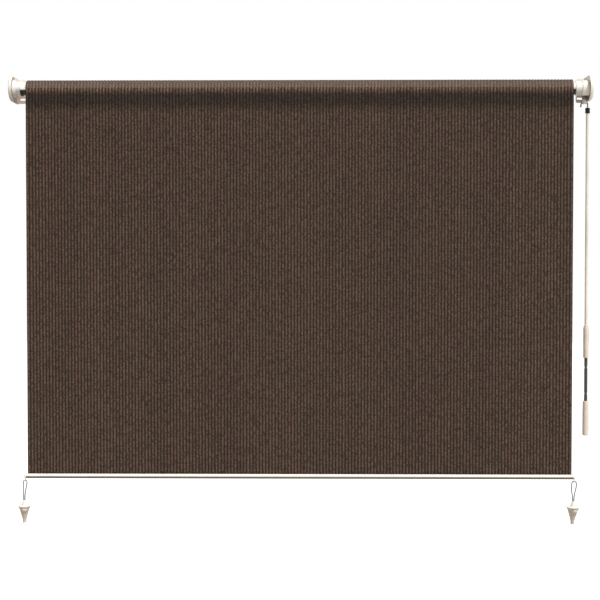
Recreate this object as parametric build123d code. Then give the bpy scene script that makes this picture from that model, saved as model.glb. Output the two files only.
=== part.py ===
from build123d import *
import math
import os

os.makedirs("parts", exist_ok=True)

# Crank-operated outdoor roller shade, in millimetres.
# X runs along the roller, -Y faces the viewer, +Z is up.
# The origin is the centre of the four wall slots: Y = 0 is the wall, Z = 0 the roller's height.
# Every function below works about the roller's axis, and export() moves the piece to the wall frame.

# Fabric, roll and roller tube
FABRIC_WIDTH = 2438.0
FABRIC_X = -5.0
LAYER_PITCH = 1.0
LAYER_THICKNESS = 0.85
ROLL_TURNS = 3
TUBE_OD = 68.0
TUBE_WALL = 1.5
FIT_GAP = 0.1
SHEET_GAP = 0.3
RIB_PITCH = 14.2
RIB_HEIGHT = 0.5
DROP = 1726.0

# Wall brackets and their covers
WALL_TO_AXIS = 100.0
BRACKET_RADIUS = 54.0
BRACKET_PLATE = 3.0
PLATE_SPACE = 67.0
FLANGE_WIDTH = 40.0
SLOT_INSET = 20.0
SLOT_Z = 35.0
SLOT_LENGTH = 25.0
SLOT_WIDTH = 9.0
COVER_DEPTH = 11.0
COVER_WALL = 2.2
COVER_EDGE = 8.0
COVER_GAP = 0.25
SCREW_RADIUS = 2.0
SCREW_HEAD_RADIUS = 4.0
SCREW_HEAD = 2.6
PAN_DEPTH = 1.2
HEAD_SEAT = 0.02
SOCKET_SCREW_DEPTH = 9.0
HOUSING_SCREW_DEPTH = 26.0

# Idler end
SOCKET_BASE_RADIUS = 41.0
SOCKET_RADIUS = 35.0
SOCKET_LENGTH = 14.6
BARREL_RADIUS = 31.0
BARREL_LENGTH = 19.6
DISC_RADIUS = 32.5
DISC_LENGTH = 13.8
HUB_RADIUS = 28.0
PIN_RADIUS = 6.0
PIN_REACH = 95.0
CLIP_WIDTH = 1.2
CLIP_INNER_RADIUS = 5.0
KEY_DEPTH = 4.0
BUSH_WALL = 3.0
RUNNING_GAP = 0.05
END_GAP = 0.5

# End plugs
PLUG_FLANGE = 3.0
PLUG_INSERT = 55.0
PLUG_RIBS = 6
PLUG_GROOVE = 3.0
RIGHT_HUB_LENGTH = 12.0

# Drive collar, hex drive shaft and gear housing
COLLAR_RADIUS = 32.0
HEX_FLATS = 12.0
SHAFT_REACH = 50.0
HOUSING_LENGTH = 30.0
HOUSING_RADIUS = 34.5
HOUSING_WALL = 2.7
COVER_RING = 9.0
OIL_PLUG_RADIUS = 3.5
OIL_PLUG_HEAD = 2.0
NECK_RADIUS = 10.5
NECK_TOP = -14.0
NECK_BOTTOM = -48.0

# Worm gear: a double-start worm turning a sixteen-tooth wheel
MODULE = 1.6
STARTS = 2
WHEEL_TEETH = 16
CENTRE_DISTANCE = 20.5
WHEEL_WIDTH = 6.5
WORM_LENGTH = 16.0
PRESSURE_ANGLE = 20.0
BACKLASH = 0.9
WORM_INSET = 13.5
WORM_PHASE = 90.0
JOURNAL_RADIUS = 4.5
JOURNAL_TOP = 20.0
BUSH_THICKNESS = 1.5
WHEEL_HUB_RADIUS = 9.5

# Crank eye and the wand's hook
EYE_RADIUS = 9.5
EYE_TOP = -54.0
EYE_BOTTOM = -68.5
EYE_COLLAR_RADIUS = 7.5
HOOK_Z = -63.5
HOOK_WIRE = 6.2
HOOK_SLACK = 3.0
EYE_PIN_RADIUS = 1.5

# Crank wand
WAND_OFFSET = 1.0
ROD_RADIUS = 7.0
FERRULE_TOP = -86.0
FERRULE_LENGTH = 24.0
FERRULE_RADIUS = 10.7
UPPER_GRIP_TOP = -1068.0
UPPER_GRIP_LENGTH = 139.0
UPPER_GRIP_RADIUS = 12.5
UPPER_KNUCKLE_Z = -1244.5
LOWER_KNUCKLE_Z = -1374.0
KNUCKLE_RADIUS = 7.5
KNUCKLE_SHOULDER = 9.5
TANG_WIDTH = 9.6
STOP_HEIGHT = 8.0
TANG_THICKNESS = 5.6
TANG_GAP = 0.3
KNUCKLE_PIN_RADIUS = 2.4
LOWER_GRIP_TOP = -1402.0
LOWER_GRIP_LENGTH = 155.0
LOWER_GRIP_RADIUS = 14.0

# Bottom rail, its caps and the cord lugs
RAIL_OVERHANG = 8.0
RAIL_HEIGHT = 21.0
RAIL_DEPTH = 17.0
RAIL_WALL = 1.6
SPLINE_RADIUS = 2.5
POCKET_RADIUS = 3.6
CAP_LENGTH = 9.0
CAP_TONGUE = 22.0
LUG_THICKNESS = 3.6
LUG_RADIUS = 5.8
LUG_GAP = 0.6
LUG_Z = -1755.7

# Hold-down cords, their ferrules and the anchors
CORD_RADIUS = 2.5
CORD_FERRULE_RADIUS = 9.0
CORD_FERRULE_TOP = -1846.0
CORD_FERRULE_LENGTH = 24.0
CORD_SEAT = 4.0
ANCHOR_WIDTH = 62.0
ANCHOR_DEPTH = 42.0
ANCHOR_HEIGHT = 82.0
ANCHOR_BACK = 11.0
ANCHOR_STEM_WIDTH = 16.0
ANCHOR_STEM_DEPTH = 13.0
ANCHOR_TOP_SLOPE = 10.0
ANCHOR_SCREW_SPACING = 34.0
ANCHOR_SCREW_RADIUS = 2.4

# Sizes that follow from those above
RAIL_X = FABRIC_X
RAIL_LENGTH = FABRIC_WIDTH + 2 * RAIL_OVERHANG
PLATE_INNER_X = FABRIC_WIDTH / 2 + PLATE_SPACE
SLOT_X = PLATE_INNER_X - SLOT_INSET
WORM_X = PLATE_INNER_X - WORM_INSET
WAND_X = PLATE_INNER_X + WAND_OFFSET
ROLL_RADIUS = TUBE_OD / 2 + (ROLL_TURNS + 1) * LAYER_PITCH
FABRIC_LEFT = FABRIC_X - FABRIC_WIDTH / 2
FABRIC_RIGHT = FABRIC_X + FABRIC_WIDTH / 2
SHEET_BACK_Y = -(ROLL_RADIUS + SHEET_GAP)
SHEET_Y = SHEET_BACK_Y - (LAYER_THICKNESS + RIB_HEIGHT) / 2
TUBE_LEFT = FABRIC_LEFT + PLUG_FLANGE
TUBE_RIGHT = FABRIC_RIGHT - PLUG_FLANGE
TUBE_ID = TUBE_OD - 2 * TUBE_WALL
BUSH_RADIUS = PIN_RADIUS + RUNNING_GAP + BUSH_WALL
SOCKET_END = -PLATE_INNER_X + SOCKET_LENGTH
BARREL_END = SOCKET_END + BARREL_LENGTH
DISC_START = BARREL_END + END_GAP
HOUSING_LEFT = PLATE_INNER_X - HOUSING_LENGTH
COLLAR_LEFT = FABRIC_RIGHT + RIGHT_HUB_LENGTH
CAVITY_RADIUS = HOUSING_RADIUS - HOUSING_WALL
SEAM_X = PLATE_INNER_X - COVER_RING
WHEEL_PITCH_RADIUS = MODULE * WHEEL_TEETH / 2
WORM_PITCH_RADIUS = CENTRE_DISTANCE - WHEEL_PITCH_RADIUS
WORM_TIP_RADIUS = WORM_PITCH_RADIUS + 0.9 * MODULE
WORM_ROOT_RADIUS = WORM_PITCH_RADIUS - 1.25 * MODULE
WORM_LEAD = math.pi * MODULE * STARTS
SHAFT_FOOT = EYE_TOP - 2.5
EYE_PIN_Z = (NECK_BOTTOM + EYE_TOP) / 2 - 0.25
KNUCKLE_TOP = UPPER_GRIP_TOP - UPPER_GRIP_LENGTH - END_GAP
ROD_TOP = FERRULE_TOP - FERRULE_LENGTH / 4
RAIL_BOTTOM = -DROP - RAIL_HEIGHT
POCKET_Z = -DROP - RAIL_WALL - POCKET_RADIUS - 1.0
ANCHOR_TOP = CORD_FERRULE_TOP - CORD_FERRULE_LENGTH + CORD_SEAT
RIGHT_LUG_X = RAIL_X + RAIL_LENGTH / 2 + CAP_LENGTH / 2
LEFT_LUG_X = RAIL_X - RAIL_LENGTH / 2 - CAP_LENGTH / 2


def rod_x(x0, x1, radius, y=0.0, z=0.0):
    """Round bar along X."""
    return Pos((x0 + x1) / 2, y, z) * Rot(0, 90, 0) * Cylinder(radius, abs(x1 - x0))


def rod_y(y0, y1, radius, x=0.0, z=0.0):
    """Round bar along Y."""
    return Pos(x, (y0 + y1) / 2, z) * Rot(90, 0, 0) * Cylinder(radius, abs(y1 - y0))


def post(z0, z1, radius, x=0.0, y=0.0):
    """Round bar along Z."""
    return Pos(x, y, (z0 + z1) / 2) * Cylinder(radius, abs(z1 - z0))


def block(x0, x1, y0, y1, z0, z1):
    """Box between two corners."""
    centre = Pos((x0 + x1) / 2, (y0 + y1) / 2, (z0 + z1) / 2)
    return centre * Box(abs(x1 - x0), abs(y1 - y0), abs(z1 - z0))


def turned(points):
    """Solid turned about the roller's axis from (x, radius) points."""
    outline = Polyline(*[(x, 0, radius) for x, radius in points], close=True)
    return revolve(make_face(outline), Axis.X, 360)


def turned_z(points, x=0.0, y=0.0):
    """Solid turned about a vertical line at x, y from (radius, z) points."""
    outline = Polyline(*[(radius, 0, z) for radius, z in points], close=True)
    return Pos(x, y, 0) * revolve(make_face(outline), Axis.Z, 360)


def slab_x(sketch, x0, x1):
    """A sketch drawn in (y, z), extruded from x0 to x1."""
    return extrude(Plane.YZ.offset(min(x0, x1)) * sketch, amount=abs(x1 - x0))


def hex_bar(x0, x1, flats):
    """Hexagonal bar along the roller's axis."""
    return slab_x(RegularPolygon(flats / 2, 6, major_radius=False), x0, x1)


def mirrored(piece):
    """The piece for the other end of the shade."""
    return mirror(piece, about=Plane.YZ)


# Wall brackets


def bracket_outline(radius, back):
    """Round-fronted plate outline, from the nose of the bracket to y = back."""
    return Circle(radius) + Pos(back / 2, 0) * Rectangle(back, 2 * radius)


def screw_circle(radius, angles):
    """Points (y, z) on a circle about the roller's axis."""
    return [
        (radius * math.cos(math.radians(a)), radius * math.sin(math.radians(a)))
        for a in angles
    ]


SOCKET_SCREWS = screw_circle(29.0, (90, 210, 330))
HOUSING_SCREWS = screw_circle(26.0, (115, 180, 245))


def bracket(centre_hole, screw_holes):
    """Right-hand folded steel bracket: a side plate and a wall flange with two slots."""
    outer_x = PLATE_INNER_X + BRACKET_PLATE
    body = slab_x(bracket_outline(BRACKET_RADIUS, WALL_TO_AXIS), PLATE_INNER_X, outer_x)
    flange_left = outer_x - FLANGE_WIDTH
    body += block(
        flange_left, outer_x, WALL_TO_AXIS - BRACKET_PLATE, WALL_TO_AXIS, -BRACKET_RADIUS, BRACKET_RADIUS
    )
    fold_outside = body.edges().filter_by(Axis.Z).sort_by(Axis.X)[-1:]
    body = fillet(fold_outside, BRACKET_PLATE)
    corners = body.edges().filter_by(Axis.Y).group_by(Axis.X)[0]
    body = fillet(corners, 3 * BRACKET_PLATE)
    for z in (-SLOT_Z, SLOT_Z):
        slot = SlotOverall(SLOT_LENGTH, SLOT_WIDTH)
        cut = extrude(Plane.XZ.offset(-WALL_TO_AXIS) * Pos(SLOT_X, z) * slot, amount=2 * BRACKET_PLATE)
        body -= cut
    body -= rod_x(PLATE_INNER_X - 1, outer_x + 1, centre_hole)
    for y, z in screw_holes:
        body -= rod_x(PLATE_INNER_X - 1, outer_x + 1, SCREW_RADIUS + FIT_GAP, y, z)
    return body


def end_cover():
    """Right-hand moulded cover: a hollow dome over the side plate, with a lip round its edge."""
    inner = BRACKET_RADIUS + COVER_GAP
    outer = inner + COVER_WALL
    lip_x = PLATE_INNER_X + FIT_GAP
    top_x = PLATE_INNER_X + BRACKET_PLATE + COVER_DEPTH
    back = WALL_TO_AXIS - BRACKET_PLATE
    dome = slab_x(bracket_outline(outer, back), lip_x, top_x)
    rim = dome.faces().sort_by(Axis.X)[-1].edges()
    dome = fillet(rim, COVER_EDGE)
    hollow = slab_x(bracket_outline(inner, back - COVER_WALL), lip_x - 1, top_x - COVER_WALL)
    rim = hollow.faces().sort_by(Axis.X)[-1].edges()
    hollow = fillet(rim, COVER_EDGE - COVER_WALL)
    plate_way = block(
        lip_x - 1, PLATE_INNER_X + BRACKET_PLATE + COVER_GAP, 0, back + 1, -inner, inner
    )
    return dome - hollow - plate_way


def plate_screws(points, depth):
    """Right-hand screws through the side plate from outside, with pan heads."""
    outer_x = PLATE_INNER_X + BRACKET_PLATE
    screws = []
    for y, z in points:
        head = rod_x(outer_x + HEAD_SEAT, outer_x + SCREW_HEAD, SCREW_HEAD_RADIUS, y, z)
        head = fillet(head.faces().sort_by(Axis.X)[-1].edges(), PAN_DEPTH)
        head -= rod_x(outer_x + PAN_DEPTH, outer_x + SCREW_HEAD, SCREW_RADIUS / 2, y, z)
        screws.append(head + rod_x(outer_x - depth, outer_x + HEAD_SEAT, SCREW_RADIUS, y, z))
    return Compound(screws)


# Idler end, on the left


def idler_socket():
    """Fixed moulded boss that carries the pin against the side plate."""
    plate = -PLATE_INNER_X
    step = SOCKET_LENGTH / 4
    boss = turned(
        [
            (plate, 0),
            (plate, SOCKET_BASE_RADIUS - 1),
            (plate + 1, SOCKET_BASE_RADIUS),
            (plate + step, SOCKET_BASE_RADIUS),
            (SOCKET_END - 1, SOCKET_RADIUS),
            (SOCKET_END, SOCKET_RADIUS - 1),
            (SOCKET_END, 0),
        ]
    )
    boss -= rod_x(plate - 1, SOCKET_END + 1, PIN_RADIUS + FIT_GAP)
    for y, z in SOCKET_SCREWS:
        boss -= rod_x(plate - 1, plate + SOCKET_LENGTH / 2, SCREW_RADIUS, y, z)
    return boss - idler_key(FIT_GAP)


def idler_key(gap):
    """Square key that stops the barrel from turning in the socket."""
    side = 2 * PIN_RADIUS + 10 + 2 * gap
    return block(
        SOCKET_END - KEY_DEPTH - gap, SOCKET_END + KEY_DEPTH, -side / 2, side / 2, -side / 2, side / 2
    )


def idler_barrel():
    """Fixed moulded barrel between the socket and the turning disc, keyed to the socket."""
    barrel = turned(
        [
            (SOCKET_END, 0),
            (SOCKET_END, BARREL_RADIUS),
            (BARREL_END - 1.5, BARREL_RADIUS),
            (BARREL_END, BARREL_RADIUS - 1.5),
            (BARREL_END, 0),
        ]
    )
    recess = turned(
        [
            (BARREL_END - 6, BARREL_RADIUS - 3),
            (BARREL_END + 1, BARREL_RADIUS - 3),
            (BARREL_END + 1, BUSH_RADIUS + 3),
            (BARREL_END - 6, BUSH_RADIUS + 3),
        ]
    )
    barrel = barrel + idler_key(0) - recess
    return barrel - rod_x(SOCKET_END - 2 * KEY_DEPTH, BARREL_END + 1, PIN_RADIUS + FIT_GAP)


def idler_pin():
    """Fixed steel pin with a flat head outside the side plate and a groove for the clip."""
    plate_out = -PLATE_INNER_X - BRACKET_PLATE
    tip = -PLATE_INNER_X + PIN_REACH
    pin = turned(
        [
            (plate_out - 4, 0),
            (plate_out - 4, PIN_RADIUS + 2),
            (plate_out - 3, PIN_RADIUS + 3),
            (plate_out, PIN_RADIUS + 3),
            (plate_out, PIN_RADIUS),
            (tip - 1.5, PIN_RADIUS),
            (tip, PIN_RADIUS - 1.5),
            (tip, 0),
        ]
    )
    return pin - clip_ring(PIN_RADIUS + 1)


def clip_ring(outer_radius):
    """Ring round the pin, just inside the bush's far end."""
    x = -PLATE_INNER_X + PIN_REACH - 6
    return rod_x(x, x + CLIP_WIDTH, outer_radius) - rod_x(x - 1, x + CLIP_WIDTH + 1, CLIP_INNER_RADIUS)


def idler_clip():
    """Snap ring in the pin's groove, open at the bottom."""
    x = -PLATE_INNER_X + PIN_REACH - 6
    opening = block(x - 1, x + CLIP_WIDTH + 1, -2, 2, -2 * PIN_RADIUS, 0)
    return clip_ring(PIN_RADIUS + 2.2) - opening


def idler_bush():
    """Plain bearing pressed into the left end plug, running on the pin."""
    start = DISC_START + 1
    end = -PLATE_INNER_X + PIN_REACH - 8
    bush = rod_x(start, end, BUSH_RADIUS) + rod_x(start, start + 2, BUSH_RADIUS + 2)
    return bush - rod_x(start - 1, end + 1, PIN_RADIUS + RUNNING_GAP)


# Roller: tube, plugs, collar and roll of fabric


def plug_insert(x0, x1):
    """Grooved body of an end plug, a push fit in the tube."""
    body = rod_x(x0, x1, TUBE_ID / 2)
    for number in range(PLUG_RIBS):
        groove = block(
            x0, x1, TUBE_ID / 2 - PLUG_GROOVE, TUBE_ID / 2 + 1, -PLUG_GROOVE, PLUG_GROOVE
        )
        body -= Rot(360 / PLUG_RIBS * (number + 0.5), 0, 0) * groove
    return body


def left_end_plug():
    """Cast plug: tapered disc, round hub, flange against the tube and grooved insert."""
    disc_end = DISC_START + DISC_LENGTH
    front = turned(
        [
            (DISC_START, 0),
            (DISC_START, DISC_RADIUS - 1),
            (DISC_START + 1, DISC_RADIUS),
            (DISC_START + 3, DISC_RADIUS),
            (disc_end, HUB_RADIUS),
            (FABRIC_LEFT, HUB_RADIUS),
            (FABRIC_LEFT, TUBE_OD / 2),
            (TUBE_LEFT, TUBE_OD / 2),
            (TUBE_LEFT, 0),
        ]
    )
    plug = front + plug_insert(TUBE_LEFT, TUBE_LEFT + PLUG_INSERT)
    plug -= rod_x(DISC_START - 1, TUBE_LEFT + PLUG_INSERT + 1, BUSH_RADIUS)
    return plug - rod_x(DISC_START - 1, DISC_START + 3, BUSH_RADIUS + 2)


def right_end_plug():
    """Cast plug: round hub with a hex socket, flange against the tube and grooved insert."""
    hub = rod_x(TUBE_RIGHT, COLLAR_LEFT, HUB_RADIUS) + rod_x(TUBE_RIGHT, FABRIC_RIGHT, TUBE_OD / 2)
    plug = hub + plug_insert(TUBE_RIGHT - PLUG_INSERT, TUBE_RIGHT)
    return plug - hex_bar(TUBE_RIGHT - PLUG_INSERT - 1, COLLAR_LEFT + 1, HEX_FLATS)


def roller_tube():
    """Aluminium tube under the roll of fabric."""
    return rod_x(TUBE_LEFT, TUBE_RIGHT, TUBE_OD / 2) - rod_x(TUBE_LEFT - 1, TUBE_RIGHT + 1, TUBE_ID / 2)


def drive_collar():
    """Moulded collar between the roller's hub and the gear housing, turned by the hex shaft."""
    end = HOUSING_LEFT - END_GAP
    collar = turned(
        [
            (COLLAR_LEFT, 0),
            (COLLAR_LEFT, COLLAR_RADIUS - 1.5),
            (COLLAR_LEFT + 1.5, COLLAR_RADIUS),
            (end - 1.5, COLLAR_RADIUS),
            (end, COLLAR_RADIUS - 1.5),
            (end, 0),
        ]
    )
    collar -= hex_bar(COLLAR_LEFT - 1, end + 1, HEX_FLATS)
    return collar - set_screw_pair(SCREW_RADIUS, 0, COLLAR_RADIUS + 1)


def set_screw_pair(radius, foot, reach):
    """Two radial bars through the collar's wall, above and behind the shaft."""
    x = (COLLAR_LEFT + HOUSING_LEFT) / 2
    return post(foot, reach, radius, x) + rod_y(foot, reach, radius, x)


def collar_set_screws():
    """Set screws that lock the collar on the hex shaft."""
    foot = HEX_FLATS / math.sqrt(3) + FIT_GAP
    return set_screw_pair(SCREW_RADIUS - FIT_GAP / 2, foot, COLLAR_RADIUS - 3)


def drive_shaft():
    """Hexagonal steel shaft from the worm wheel into the right end plug."""
    return hex_bar(COLLAR_LEFT - SHAFT_REACH, PLATE_INNER_X - 1, HEX_FLATS - FIT_GAP)


def roll_arcs(outer_radius):
    """Half circles of a roll, from the front tangent over the top and inwards."""
    arcs = []
    start = -outer_radius
    for half in range(2 * ROLL_TURNS):
        side = 1 if half % 2 == 0 else -1
        diameter = 2 * outer_radius - (half + 0.5) * LAYER_PITCH
        end = start + side * diameter
        middle = (start + end) / 2
        arcs.append(ThreePointArc((start, 0), (middle, side * diameter / 2), (end, 0)))
        start = end
    return arcs


def fabric_roll():
    """The rolled fabric: one strip wound in a spiral, ending at the front of the roll."""
    outside = roll_arcs(ROLL_RADIUS)
    inside = roll_arcs(ROLL_RADIUS - LAYER_THICKNESS)
    closing = [
        Line(outside[0] @ 0, inside[0] @ 0),
        Line(outside[-1] @ 1, inside[-1] @ 1),
    ]
    spiral = make_face(Wire(outside + inside + closing))
    return slab_x(spiral, FABRIC_LEFT, FABRIC_RIGHT)


def fabric_sheet():
    """The hanging fabric: a knitted sheet of vertical ribs with a hem pocket along its foot."""
    ribs = round(FABRIC_WIDTH / RIB_PITCH)
    pitch = FABRIC_WIDTH / ribs
    back = SHEET_BACK_Y
    front = []
    rear = []
    for rib in range(ribs):
        x = FABRIC_LEFT + rib * pitch
        front += [(x, back - LAYER_THICKNESS), (x + pitch / 2, back - LAYER_THICKNESS - RIB_HEIGHT)]
        rear += [(x, back), (x + pitch / 2, back - RIB_HEIGHT)]
    front.append((FABRIC_RIGHT, back - LAYER_THICKNESS))
    rear.append((FABRIC_RIGHT, back))
    section = make_face(Polyline(*front, *reversed(rear), close=True))
    sheet = extrude(Plane.XY.offset(-DROP - 1.0) * section, amount=DROP + 1.0)
    neck = LAYER_THICKNESS / 2
    lip = block(FABRIC_LEFT, FABRIC_RIGHT, SHEET_Y - neck, SHEET_Y + neck, POCKET_Z, -DROP + 1.0)
    pocket = rod_x(FABRIC_LEFT, FABRIC_RIGHT, POCKET_RADIUS, SHEET_Y, POCKET_Z)
    bore = rod_x(FABRIC_LEFT - 1, FABRIC_RIGHT + 1, SPLINE_RADIUS + SHEET_GAP, SHEET_Y, POCKET_Z)
    return sheet + (lip + pocket - bore)


# Worm gear, on the right


def wheel_tooth_points():
    """Half flank of a wheel tooth as (radius, half angle): root, base, pitch and tip."""
    alpha = math.radians(PRESSURE_ANGLE)
    base = WHEEL_PITCH_RADIUS * math.cos(alpha)
    tip = WHEEL_PITCH_RADIUS + MODULE
    root = WHEEL_PITCH_RADIUS - 1.25 * MODULE
    thickness = math.pi * MODULE / 2 - BACKLASH
    at_pitch = thickness / 2 / WHEEL_PITCH_RADIUS
    involute = math.tan(alpha) - alpha
    alpha_tip = math.acos(base / tip)
    involute_tip = math.tan(alpha_tip) - alpha_tip
    at_base = at_pitch + involute
    at_tip = at_base - involute_tip
    return [(root, at_base), (base, at_base), (WHEEL_PITCH_RADIUS, at_pitch), (tip, at_tip)]


def wheel_tooth(middle):
    """One tooth's outline in (y, z), centred on the angle middle."""
    root, base, pitch, tip = wheel_tooth_points()

    def at(point, side):
        angle = middle + side * point[1]
        return (point[0] * math.cos(angle), point[0] * math.sin(angle))

    inner = (0.9 * root[0], root[1])
    outline = [
        Line(at(inner, -1), at(base, -1)),
        ThreePointArc(at(base, -1), at(pitch, -1), at(tip, -1)),
        Line(at(tip, -1), at(tip, 1)),
        ThreePointArc(at(tip, 1), at(pitch, 1), at(base, 1)),
        Line(at(base, 1), at(inner, 1)),
        Line(at(inner, 1), at(inner, -1)),
    ]
    return make_face(Wire(outline))


def worm_wheel():
    """Worm wheel with helical teeth, on a hub that runs in the housing and takes the hex shaft."""
    left = WORM_X - WHEEL_WIDTH / 2
    lead_angle = math.atan(WORM_LEAD / (2 * math.pi * WORM_PITCH_RADIUS))
    twist = math.degrees(WHEEL_WIDTH * math.tan(lead_angle) / WHEEL_PITCH_RADIUS)
    root_radius = wheel_tooth_points()[0][0]
    wheel = rod_x(left, left + WHEEL_WIDTH, root_radius)
    for number in range(WHEEL_TEETH):
        middle = 2 * math.pi * (number + 0.5) / WHEEL_TEETH
        outline = wheel_tooth(middle)
        start = Plane.YZ.offset(left) * Rot(0, 0, twist / 2) * outline
        tooth = Solid.extrude_linear_with_rotation(
            start.face(), (left, 0, 0), (WHEEL_WIDTH, 0, 0), -twist
        )
        wheel += tooth
    hub = rod_x(HOUSING_LEFT + END_GAP, PLATE_INNER_X - END_GAP, WHEEL_HUB_RADIUS)
    return wheel + hub - hex_bar(HOUSING_LEFT, PLATE_INNER_X, HEX_FLATS)


def worm_section():
    """Cross-section of the worm: a root circle with one lobe for each start of the thread."""
    slope = math.tan(math.radians(PRESSURE_ANGLE))
    half = (math.pi * MODULE / 2 - BACKLASH) / 2
    tip = math.degrees((half - (WORM_TIP_RADIUS - WORM_PITCH_RADIUS) * slope) * 2 * math.pi / WORM_LEAD)
    foot = math.degrees((half + (WORM_PITCH_RADIUS - WORM_ROOT_RADIUS) * slope) * 2 * math.pi / WORM_LEAD)
    step = 360 / STARTS
    parts = []
    for start in range(STARTS):
        crest = CenterArc((0, 0), WORM_TIP_RADIUS, start * step - tip, 2 * tip)
        root = CenterArc((0, 0), WORM_ROOT_RADIUS, start * step + foot, step - 2 * foot)
        following = CenterArc((0, 0), WORM_TIP_RADIUS, (start + 1) * step - tip, 2 * tip)
        parts += [crest, Line(crest @ 1, root @ 0), root, Line(root @ 1, following @ 0)]
    return make_face(Wire(parts))


def worm_shaft():
    """Double-start worm on its shaft, standing upright behind the wheel, with the eye's end below."""
    half = WORM_LENGTH / 2
    turns = 360 * WORM_LENGTH / WORM_LEAD
    section = Rot(0, 0, WORM_PHASE - turns / 2) * worm_section()
    worm = Solid.extrude_linear_with_rotation(
        (Pos(0, 0, -half) * section).face(), (0, 0, -half), (0, 0, WORM_LENGTH), turns
    )
    worm += post(half, JOURNAL_TOP, JOURNAL_RADIUS)
    foot = post(SHAFT_FOOT, -half, JOURNAL_RADIUS)
    foot -= rod_y(-2 * JOURNAL_RADIUS, 2 * JOURNAL_RADIUS, EYE_PIN_RADIUS, 0, EYE_PIN_Z)
    return Pos(WORM_X, CENTRE_DISTANCE, 0) * (worm + foot)


def worm_bore(extra):
    """Way through the housing for the worm, its journals and their bushes."""
    y = CENTRE_DISTANCE
    bore = post(-WORM_LENGTH / 2 - 1, WORM_LENGTH / 2 + 1, WORM_TIP_RADIUS + 0.5, WORM_X, y)
    return bore + post(NECK_BOTTOM - 1, JOURNAL_TOP + 0.5, JOURNAL_RADIUS + extra, WORM_X, y)


def drum(x0, x1, radius):
    """Round drum with a small chamfer on its left edge."""
    body = rod_x(x0, x1, radius)
    return chamfer(body.faces().sort_by(Axis.X)[0].edges(), 1.2)


def gear_housing():
    """Cast cup round the worm and wheel, with bearing bosses and a neck for the worm shaft."""
    cup = drum(HOUSING_LEFT, SEAM_X, HOUSING_RADIUS)
    cup -= rod_x(HOUSING_LEFT + HOUSING_WALL, SEAM_X + 1, CAVITY_RADIUS)
    y = CENTRE_DISTANCE
    bosses = post(NECK_BOTTOM, NECK_TOP, NECK_RADIUS, WORM_X, y)
    upper = post(WORM_LENGTH / 2 + 3, HOUSING_RADIUS, NECK_RADIUS - 1, WORM_X, y)
    bosses += upper & rod_x(HOUSING_LEFT, PLATE_INNER_X - HOUSING_WALL, CAVITY_RADIUS + 1)
    for screw_y, screw_z in HOUSING_SCREWS:
        bosses += rod_x(HOUSING_LEFT + 1, SEAM_X, 2.4 * SCREW_RADIUS, screw_y, screw_z)
    bosses += rod_x(HOUSING_LEFT + 1, HOUSING_LEFT + 6, WHEEL_HUB_RADIUS + 3)
    body = cup + bosses
    body -= worm_bore(BUSH_THICKNESS)
    body -= rod_x(HOUSING_LEFT - 1, HOUSING_LEFT + 7, WHEEL_HUB_RADIUS + RUNNING_GAP)
    for screw_y, screw_z in HOUSING_SCREWS:
        body -= rod_x(HOUSING_LEFT + 4, SEAM_X + 1, SCREW_RADIUS, screw_y, screw_z)
    return body


def gear_cover():
    """Cast lid of the gear housing, between the housing and the side plate."""
    lid = rod_x(SEAM_X, PLATE_INNER_X, HOUSING_RADIUS)
    lid -= rod_x(SEAM_X - 1, PLATE_INNER_X - HOUSING_WALL, CAVITY_RADIUS)
    for y, z in HOUSING_SCREWS:
        lid += rod_x(SEAM_X, PLATE_INNER_X, 2.4 * SCREW_RADIUS, y, z)
        lid -= rod_x(SEAM_X - 1, PLATE_INNER_X + 1, SCREW_RADIUS + FIT_GAP, y, z)
    lid -= rod_x(SEAM_X - 1, PLATE_INNER_X + 1, WHEEL_HUB_RADIUS + RUNNING_GAP)
    lid -= post(CAVITY_RADIUS - 3, HOUSING_RADIUS + 1, SCREW_RADIUS, SEAM_X + COVER_RING / 2)
    y = CENTRE_DISTANCE
    lid -= post(-HOUSING_RADIUS - 1, NECK_TOP + FIT_GAP, NECK_RADIUS + FIT_GAP, WORM_X, y)
    return lid - post(WORM_LENGTH / 2 + 3 - FIT_GAP, HOUSING_RADIUS, NECK_RADIUS - 1 + FIT_GAP, WORM_X, y)


def oil_plug():
    """Plug in the grease hole on top of the gear cover, with a slotted head."""
    x = SEAM_X + COVER_RING / 2
    top = HOUSING_RADIUS + OIL_PLUG_HEAD
    plug = post(CAVITY_RADIUS - 1, HOUSING_RADIUS, SCREW_RADIUS, x)
    plug += post(HOUSING_RADIUS, top, OIL_PLUG_RADIUS, x)
    return plug - block(x - OIL_PLUG_RADIUS, x + OIL_PLUG_RADIUS, -0.5, 0.5, top - 1, top + 1)


def worm_bush(z0, z1):
    """Bronze bush round one of the worm's journals."""
    outer = post(z0, z1, JOURNAL_RADIUS + BUSH_THICKNESS, WORM_X, CENTRE_DISTANCE)
    return outer - post(z0 - 1, z1 + 1, JOURNAL_RADIUS + RUNNING_GAP, WORM_X, CENTRE_DISTANCE)


# Crank eye and wand


def crank_eye():
    """Eye pinned to the worm shaft: a round barrel with an upright slot for the hook."""
    centre = CENTRE_DISTANCE
    eye = post(EYE_BOTTOM, EYE_TOP, EYE_RADIUS, WORM_X, centre)
    eye = fillet(eye.edges(), 1.8)
    eye += post(EYE_TOP - 2, NECK_BOTTOM - END_GAP, EYE_COLLAR_RADIUS, WORM_X, centre)
    eye -= post(SHAFT_FOOT - FIT_GAP, NECK_BOTTOM, JOURNAL_RADIUS + FIT_GAP / 2, WORM_X, centre)
    bore = HOOK_WIRE / 2 + FIT_GAP
    hole = Pos(centre, HOOK_Z) * Circle(bore) + Pos(centre, HOOK_Z + HOOK_SLACK / 2) * Rectangle(
        2 * bore, HOOK_SLACK
    )
    hole += Pos(centre, HOOK_Z + HOOK_SLACK) * Circle(bore)
    eye -= slab_x(hole, WORM_X - 2 * EYE_RADIUS, WORM_X + 2 * EYE_RADIUS)
    return eye - eye_pin()


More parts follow.
